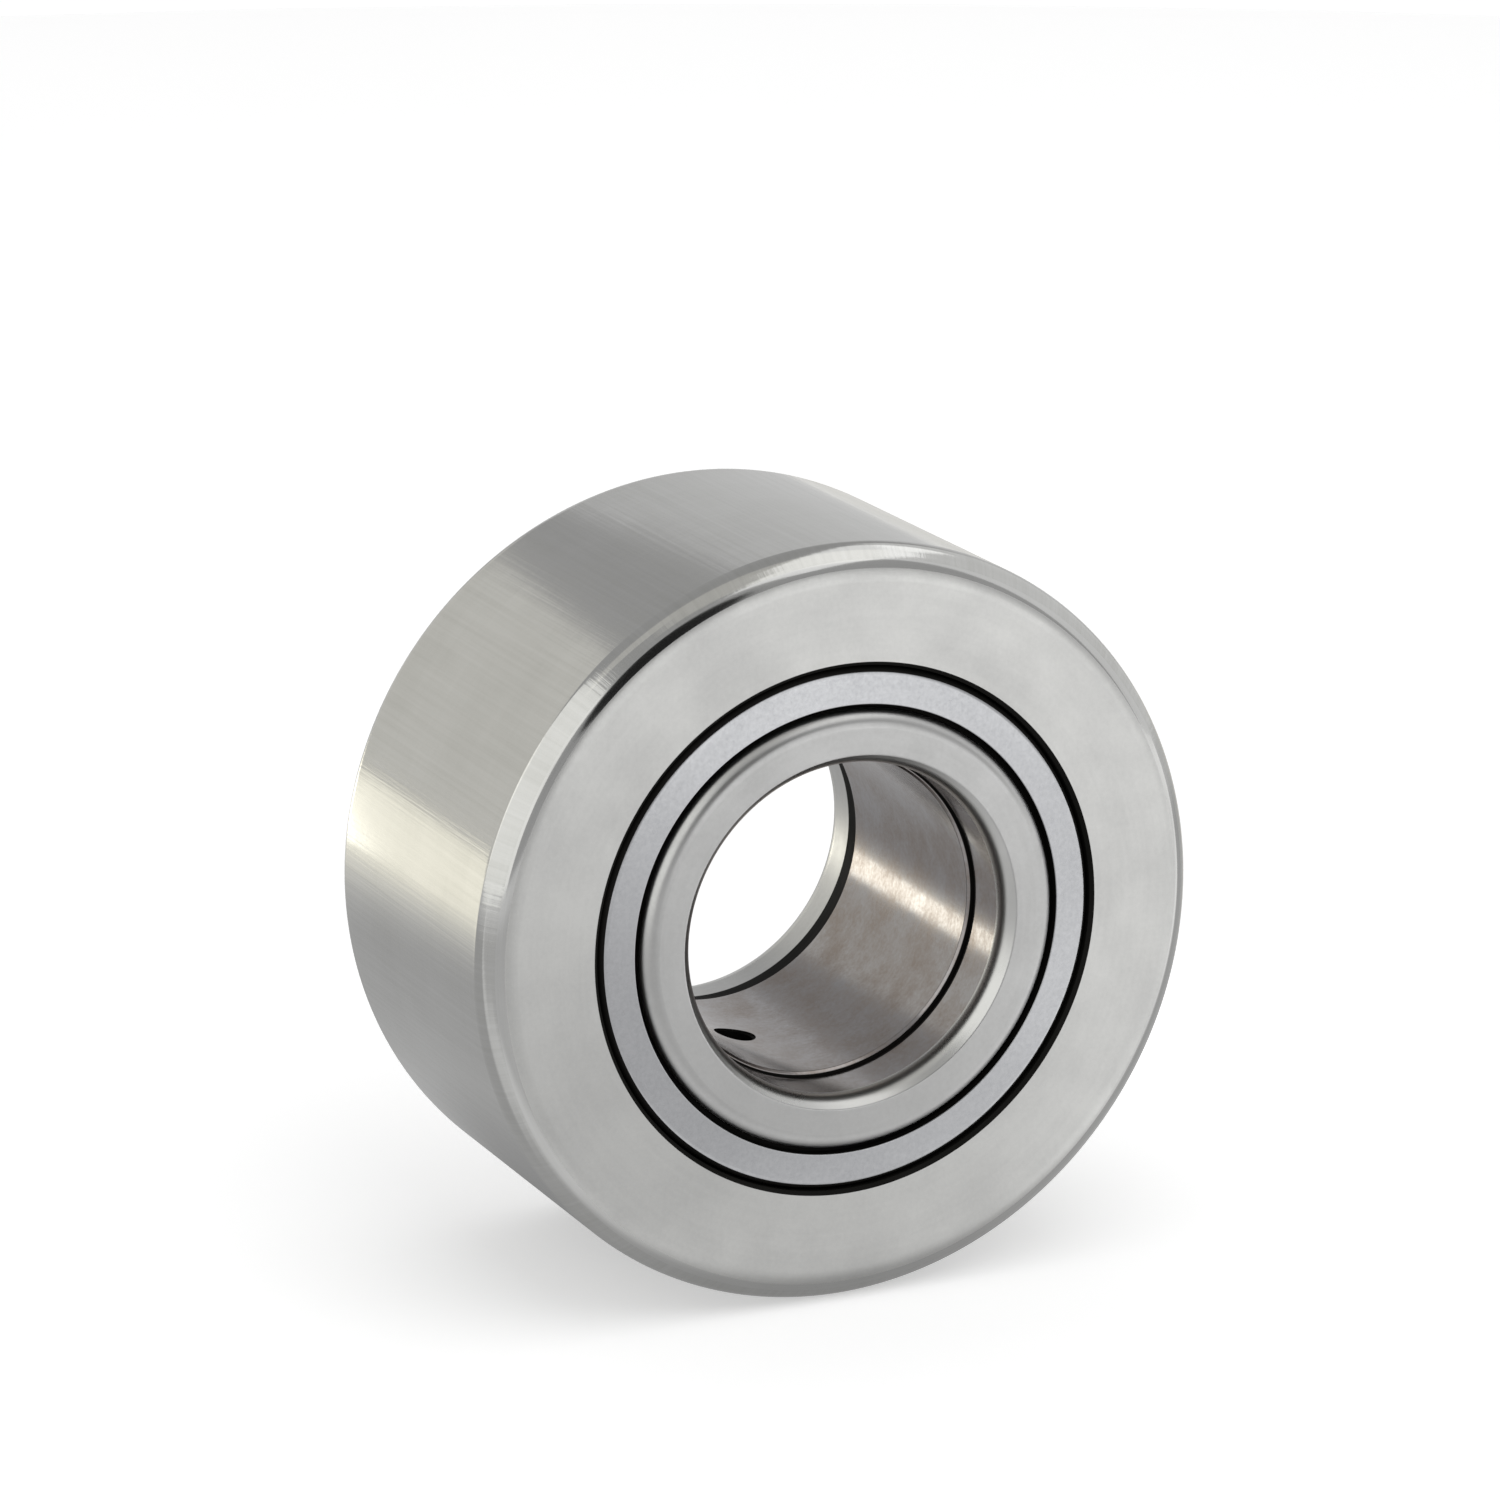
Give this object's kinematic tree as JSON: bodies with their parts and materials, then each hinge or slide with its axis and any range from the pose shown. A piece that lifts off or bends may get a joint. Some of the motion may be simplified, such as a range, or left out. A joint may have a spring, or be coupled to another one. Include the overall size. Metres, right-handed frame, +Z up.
{
  "type": "cam follower",
  "caption": "Yoke-type cam follower: a thick outer ring with rounded edges turns on cylindrical rollers around a bored inner ring clamped between side washers, with sheet shields over the ends.",
  "frame": {"origin": "centre of the bearing, on its axis and half way between the two washer faces", "axes": "+Y along the axis that the outer ring turns about, from the front face to the rear face; +Z up when the follower stands on its tread; +X to the right seen from the front"},
  "size_m": [0.047, 0.025, 0.047],
  "materials": {
    "ground_outer_steel": "ground and fine-turned bearing steel, satin on the faces and brighter on the tread",
    "shield_sheet": "smooth pressed sheet steel with a faint blue cast",
    "polished_bore_steel": "polished bearing steel",
    "washer_steel": "fine ground face, bright chamfer",
    "roller_steel": "polished roller steel"
  },
  "bodies": {
    "inner_assembly": {"inner_ring": "polished_bore_steel", "side_washer_front": "washer_steel", "side_washer_rear": "washer_steel"},
    "outer_assembly": {"outer_ring": "ground_outer_steel", "shield_front": "shield_sheet", "shield_rear": "shield_sheet"},
    "front_roller_row": {"roller_front_01": "roller_steel"},
    "front_roller_02": {"roller_front_02": "roller_steel"},
    "front_roller_03": {"roller_front_03": "roller_steel"},
    "front_roller_04": {"roller_front_04": "roller_steel"},
    "front_roller_05": {"roller_front_05": "roller_steel"},
    "front_roller_06": {"roller_front_06": "roller_steel"},
    "front_roller_07": {"roller_front_07": "roller_steel"},
    "front_roller_08": {"roller_front_08": "roller_steel"},
    "front_roller_09": {"roller_front_09": "roller_steel"},
    "front_roller_10": {"roller_front_10": "roller_steel"},
    "front_roller_11": {"roller_front_11": "roller_steel"},
    "front_roller_12": {"roller_front_12": "roller_steel"},
    "front_roller_13": {"roller_front_13": "roller_steel"},
    "front_roller_14": {"roller_front_14": "roller_steel"},
    "front_roller_15": {"roller_front_15": "roller_steel"},
    "front_roller_16": {"roller_front_16": "roller_steel"},
    "front_roller_17": {"roller_front_17": "roller_steel"},
    "front_roller_18": {"roller_front_18": "roller_steel"},
    "front_roller_19": {"roller_front_19": "roller_steel"},
    "front_roller_20": {"roller_front_20": "roller_steel"},
    "front_roller_21": {"roller_front_21": "roller_steel"},
    "front_roller_22": {"roller_front_22": "roller_steel"},
    "rear_roller_row": {"roller_rear_01": "roller_steel"},
    "rear_roller_02": {"roller_rear_02": "roller_steel"},
    "rear_roller_03": {"roller_rear_03": "roller_steel"},
    "rear_roller_04": {"roller_rear_04": "roller_steel"},
    "rear_roller_05": {"roller_rear_05": "roller_steel"},
    "rear_roller_06": {"roller_rear_06": "roller_steel"},
    "rear_roller_07": {"roller_rear_07": "roller_steel"},
    "rear_roller_08": {"roller_rear_08": "roller_steel"},
    "rear_roller_09": {"roller_rear_09": "roller_steel"},
    "rear_roller_10": {"roller_rear_10": "roller_steel"},
    "rear_roller_11": {"roller_rear_11": "roller_steel"},
    "rear_roller_12": {"roller_rear_12": "roller_steel"},
    "rear_roller_13": {"roller_rear_13": "roller_steel"},
    "rear_roller_14": {"roller_rear_14": "roller_steel"},
    "rear_roller_15": {"roller_rear_15": "roller_steel"},
    "rear_roller_16": {"roller_rear_16": "roller_steel"},
    "rear_roller_17": {"roller_rear_17": "roller_steel"},
    "rear_roller_18": {"roller_rear_18": "roller_steel"},
    "rear_roller_19": {"roller_rear_19": "roller_steel"},
    "rear_roller_20": {"roller_rear_20": "roller_steel"},
    "rear_roller_21": {"roller_rear_21": "roller_steel"},
    "rear_roller_22": {"roller_rear_22": "roller_steel"}
  },
  "joints": [
    {"name": "outer_spin", "type": "hinge", "parent": "inner_assembly", "child": "outer_assembly", "pos_m": [0, 0, 0], "axis": [0, 1, 0], "continuous": true},
    {"name": "front_row_orbit", "type": "hinge", "parent": "inner_assembly", "child": "front_roller_row", "pos_m": [0, -0.00445, 0], "axis": [0, 1, 0], "continuous": true},
    {"name": "front_roller_02_spin", "type": "hinge", "parent": "front_roller_row", "child": "front_roller_02", "pos_m": [0.01367, -0.00445, 0.00401], "axis": [0, 1, 0], "continuous": true},
    {"name": "front_roller_03_spin", "type": "hinge", "parent": "front_roller_row", "child": "front_roller_03", "pos_m": [0.01199, -0.00445, 0.0077], "axis": [0, 1, 0], "continuous": true},
    {"name": "front_roller_04_spin", "type": "hinge", "parent": "front_roller_row", "child": "front_roller_04", "pos_m": [0.00933, -0.00445, 0.01077], "axis": [0, 1, 0], "continuous": true},
    {"name": "front_roller_05_spin", "type": "hinge", "parent": "front_roller_row", "child": "front_roller_05", "pos_m": [0.00592, -0.00445, 0.01296], "axis": [0, 1, 0], "continuous": true},
    {"name": "front_roller_06_spin", "type": "hinge", "parent": "front_roller_row", "child": "front_roller_06", "pos_m": [0.00203, -0.00445, 0.0141], "axis": [0, 1, 0], "continuous": true},
    {"name": "front_roller_07_spin", "type": "hinge", "parent": "front_roller_row", "child": "front_roller_07", "pos_m": [-0.00203, -0.00445, 0.0141], "axis": [0, 1, 0], "continuous": true},
    {"name": "front_roller_08_spin", "type": "hinge", "parent": "front_roller_row", "child": "front_roller_08", "pos_m": [-0.00592, -0.00445, 0.01296], "axis": [0, 1, 0], "continuous": true},
    {"name": "front_roller_09_spin", "type": "hinge", "parent": "front_roller_row", "child": "front_roller_09", "pos_m": [-0.00933, -0.00445, 0.01077], "axis": [0, 1, 0], "continuous": true},
    {"name": "front_roller_10_spin", "type": "hinge", "parent": "front_roller_row", "child": "front_roller_10", "pos_m": [-0.01199, -0.00445, 0.0077], "axis": [0, 1, 0], "continuous": true},
    {"name": "front_roller_11_spin", "type": "hinge", "parent": "front_roller_row", "child": "front_roller_11", "pos_m": [-0.01367, -0.00445, 0.00401], "axis": [0, 1, 0], "continuous": true},
    {"name": "front_roller_12_spin", "type": "hinge", "parent": "front_roller_row", "child": "front_roller_12", "pos_m": [-0.01425, -0.00445, 0], "axis": [0, 1, 0], "continuous": true},
    {"name": "front_roller_13_spin", "type": "hinge", "parent": "front_roller_row", "child": "front_roller_13", "pos_m": [-0.01367, -0.00445, -0.00401], "axis": [0, 1, 0], "continuous": true},
    {"name": "front_roller_14_spin", "type": "hinge", "parent": "front_roller_row", "child": "front_roller_14", "pos_m": [-0.01199, -0.00445, -0.0077], "axis": [0, 1, 0], "continuous": true},
    {"name": "front_roller_15_spin", "type": "hinge", "parent": "front_roller_row", "child": "front_roller_15", "pos_m": [-0.00933, -0.00445, -0.01077], "axis": [0, 1, 0], "continuous": true},
    {"name": "front_roller_16_spin", "type": "hinge", "parent": "front_roller_row", "child": "front_roller_16", "pos_m": [-0.00592, -0.00445, -0.01296], "axis": [0, 1, 0], "continuous": true},
    {"name": "front_roller_17_spin", "type": "hinge", "parent": "front_roller_row", "child": "front_roller_17", "pos_m": [-0.00203, -0.00445, -0.0141], "axis": [0, 1, 0], "continuous": true},
    {"name": "front_roller_18_spin", "type": "hinge", "parent": "front_roller_row", "child": "front_roller_18", "pos_m": [0.00203, -0.00445, -0.0141], "axis": [0, 1, 0], "continuous": true},
    {"name": "front_roller_19_spin", "type": "hinge", "parent": "front_roller_row", "child": "front_roller_19", "pos_m": [0.00592, -0.00445, -0.01296], "axis": [0, 1, 0], "continuous": true},
    {"name": "front_roller_20_spin", "type": "hinge", "parent": "front_roller_row", "child": "front_roller_20", "pos_m": [0.00933, -0.00445, -0.01077], "axis": [0, 1, 0], "continuous": true},
    {"name": "front_roller_21_spin", "type": "hinge", "parent": "front_roller_row", "child": "front_roller_21", "pos_m": [0.01199, -0.00445, -0.0077], "axis": [0, 1, 0], "continuous": true},
    {"name": "front_roller_22_spin", "type": "hinge", "parent": "front_roller_row", "child": "front_roller_22", "pos_m": [0.01367, -0.00445, -0.00401], "axis": [0, 1, 0], "continuous": true},
    {"name": "rear_row_orbit", "type": "hinge", "parent": "inner_assembly", "child": "rear_roller_row", "pos_m": [0, 0.00445, 0], "axis": [0, 1, 0], "continuous": true},
    {"name": "rear_roller_02_spin", "type": "hinge", "parent": "rear_roller_row", "child": "rear_roller_02", "pos_m": [0.01296, 0.00445, 0.00592], "axis": [0, 1, 0], "continuous": true},
    {"name": "rear_roller_03_spin", "type": "hinge", "parent": "rear_roller_row", "child": "rear_roller_03", "pos_m": [0.01077, 0.00445, 0.00933], "axis": [0, 1, 0], "continuous": true},
    {"name": "rear_roller_04_spin", "type": "hinge", "parent": "rear_roller_row", "child": "rear_roller_04", "pos_m": [0.0077, 0.00445, 0.01199], "axis": [0, 1, 0], "continuous": true},
    {"name": "rear_roller_05_spin", "type": "hinge", "parent": "rear_roller_row", "child": "rear_roller_05", "pos_m": [0.00401, 0.00445, 0.01367], "axis": [0, 1, 0], "continuous": true},
    {"name": "rear_roller_06_spin", "type": "hinge", "parent": "rear_roller_row", "child": "rear_roller_06", "pos_m": [0, 0.00445, 0.01425], "axis": [0, 1, 0], "continuous": true},
    {"name": "rear_roller_07_spin", "type": "hinge", "parent": "rear_roller_row", "child": "rear_roller_07", "pos_m": [-0.00401, 0.00445, 0.01367], "axis": [0, 1, 0], "continuous": true},
    {"name": "rear_roller_08_spin", "type": "hinge", "parent": "rear_roller_row", "child": "rear_roller_08", "pos_m": [-0.0077, 0.00445, 0.01199], "axis": [0, 1, 0], "continuous": true},
    {"name": "rear_roller_09_spin", "type": "hinge", "parent": "rear_roller_row", "child": "rear_roller_09", "pos_m": [-0.01077, 0.00445, 0.00933], "axis": [0, 1, 0], "continuous": true},
    {"name": "rear_roller_10_spin", "type": "hinge", "parent": "rear_roller_row", "child": "rear_roller_10", "pos_m": [-0.01296, 0.00445, 0.00592], "axis": [0, 1, 0], "continuous": true},
    {"name": "rear_roller_11_spin", "type": "hinge", "parent": "rear_roller_row", "child": "rear_roller_11", "pos_m": [-0.0141, 0.00445, 0.00203], "axis": [0, 1, 0], "continuous": true},
    {"name": "rear_roller_12_spin", "type": "hinge", "parent": "rear_roller_row", "child": "rear_roller_12", "pos_m": [-0.0141, 0.00445, -0.00203], "axis": [0, 1, 0], "continuous": true},
    {"name": "rear_roller_13_spin", "type": "hinge", "parent": "rear_roller_row", "child": "rear_roller_13", "pos_m": [-0.01296, 0.00445, -0.00592], "axis": [0, 1, 0], "continuous": true},
    {"name": "rear_roller_14_spin", "type": "hinge", "parent": "rear_roller_row", "child": "rear_roller_14", "pos_m": [-0.01077, 0.00445, -0.00933], "axis": [0, 1, 0], "continuous": true},
    {"name": "rear_roller_15_spin", "type": "hinge", "parent": "rear_roller_row", "child": "rear_roller_15", "pos_m": [-0.0077, 0.00445, -0.01199], "axis": [0, 1, 0], "continuous": true},
    {"name": "rear_roller_16_spin", "type": "hinge", "parent": "rear_roller_row", "child": "rear_roller_16", "pos_m": [-0.00401, 0.00445, -0.01367], "axis": [0, 1, 0], "continuous": true},
    {"name": "rear_roller_17_spin", "type": "hinge", "parent": "rear_roller_row", "child": "rear_roller_17", "pos_m": [0, 0.00445, -0.01425], "axis": [0, 1, 0], "continuous": true},
    {"name": "rear_roller_18_spin", "type": "hinge", "parent": "rear_roller_row", "child": "rear_roller_18", "pos_m": [0.00401, 0.00445, -0.01367], "axis": [0, 1, 0], "continuous": true},
    {"name": "rear_roller_19_spin", "type": "hinge", "parent": "rear_roller_row", "child": "rear_roller_19", "pos_m": [0.0077, 0.00445, -0.01199], "axis": [0, 1, 0], "continuous": true},
    {"name": "rear_roller_20_spin", "type": "hinge", "parent": "rear_roller_row", "child": "rear_roller_20", "pos_m": [0.01077, 0.00445, -0.00933], "axis": [0, 1, 0], "continuous": true},
    {"name": "rear_roller_21_spin", "type": "hinge", "parent": "rear_roller_row", "child": "rear_roller_21", "pos_m": [0.01296, 0.00445, -0.00592], "axis": [0, 1, 0], "continuous": true},
    {"name": "rear_roller_22_spin", "type": "hinge", "parent": "rear_roller_row", "child": "rear_roller_22", "pos_m": [0.0141, 0.00445, -0.00203], "axis": [0, 1, 0], "continuous": true}
  ],
  "couplings": [
    {"joint": "front_row_orbit", "follows": "outer_spin", "ratio": 0.57017},
    {"joint": "front_roller_02_spin", "follows": "outer_spin", "ratio": 3.4923},
    {"joint": "front_roller_03_spin", "follows": "outer_spin", "ratio": 3.4923},
    {"joint": "front_roller_04_spin", "follows": "outer_spin", "ratio": 3.4923},
    {"joint": "front_roller_05_spin", "follows": "outer_spin", "ratio": 3.4923},
    {"joint": "front_roller_06_spin", "follows": "outer_spin", "ratio": 3.4923},
    {"joint": "front_roller_07_spin", "follows": "outer_spin", "ratio": 3.4923},
    {"joint": "front_roller_08_spin", "follows": "outer_spin", "ratio": 3.4923},
    {"joint": "front_roller_09_spin", "follows": "outer_spin", "ratio": 3.4923},
    {"joint": "front_roller_10_spin", "follows": "outer_spin", "ratio": 3.4923},
    {"joint": "front_roller_11_spin", "follows": "outer_spin", "ratio": 3.4923},
    {"joint": "front_roller_12_spin", "follows": "outer_spin", "ratio": 3.4923},
    {"joint": "front_roller_13_spin", "follows": "outer_spin", "ratio": 3.4923},
    {"joint": "front_roller_14_spin", "follows": "outer_spin", "ratio": 3.4923},
    {"joint": "front_roller_15_spin", "follows": "outer_spin", "ratio": 3.4923},
    {"joint": "front_roller_16_spin", "follows": "outer_spin", "ratio": 3.4923},
    {"joint": "front_roller_17_spin", "follows": "outer_spin", "ratio": 3.4923},
    {"joint": "front_roller_18_spin", "follows": "outer_spin", "ratio": 3.4923},
    {"joint": "front_roller_19_spin", "follows": "outer_spin", "ratio": 3.4923},
    {"joint": "front_roller_20_spin", "follows": "outer_spin", "ratio": 3.4923},
    {"joint": "front_roller_21_spin", "follows": "outer_spin", "ratio": 3.4923},
    {"joint": "front_roller_22_spin", "follows": "outer_spin", "ratio": 3.4923},
    {"joint": "rear_row_orbit", "follows": "outer_spin", "ratio": 0.57017},
    {"joint": "rear_roller_02_spin", "follows": "outer_spin", "ratio": 3.4923},
    {"joint": "rear_roller_03_spin", "follows": "outer_spin", "ratio": 3.4923},
    {"joint": "rear_roller_04_spin", "follows": "outer_spin", "ratio": 3.4923},
    {"joint": "rear_roller_05_spin", "follows": "outer_spin", "ratio": 3.4923},
    {"joint": "rear_roller_06_spin", "follows": "outer_spin", "ratio": 3.4923},
    {"joint": "rear_roller_07_spin", "follows": "outer_spin", "ratio": 3.4923},
    {"joint": "rear_roller_08_spin", "follows": "outer_spin", "ratio": 3.4923},
    {"joint": "rear_roller_09_spin", "follows": "outer_spin", "ratio": 3.4923},
    {"joint": "rear_roller_10_spin", "follows": "outer_spin", "ratio": 3.4923},
    {"joint": "rear_roller_11_spin", "follows": "outer_spin", "ratio": 3.4923},
    {"joint": "rear_roller_12_spin", "follows": "outer_spin", "ratio": 3.4923},
    {"joint": "rear_roller_13_spin", "follows": "outer_spin", "ratio": 3.4923},
    {"joint": "rear_roller_14_spin", "follows": "outer_spin", "ratio": 3.4923},
    {"joint": "rear_roller_15_spin", "follows": "outer_spin", "ratio": 3.4923},
    {"joint": "rear_roller_16_spin", "follows": "outer_spin", "ratio": 3.4923},
    {"joint": "rear_roller_17_spin", "follows": "outer_spin", "ratio": 3.4923},
    {"joint": "rear_roller_18_spin", "follows": "outer_spin", "ratio": 3.4923},
    {"joint": "rear_roller_19_spin", "follows": "outer_spin", "ratio": 3.4923},
    {"joint": "rear_roller_20_spin", "follows": "outer_spin", "ratio": 3.4923},
    {"joint": "rear_roller_21_spin", "follows": "outer_spin", "ratio": 3.4923},
    {"joint": "rear_roller_22_spin", "follows": "outer_spin", "ratio": 3.4923}
  ]
}
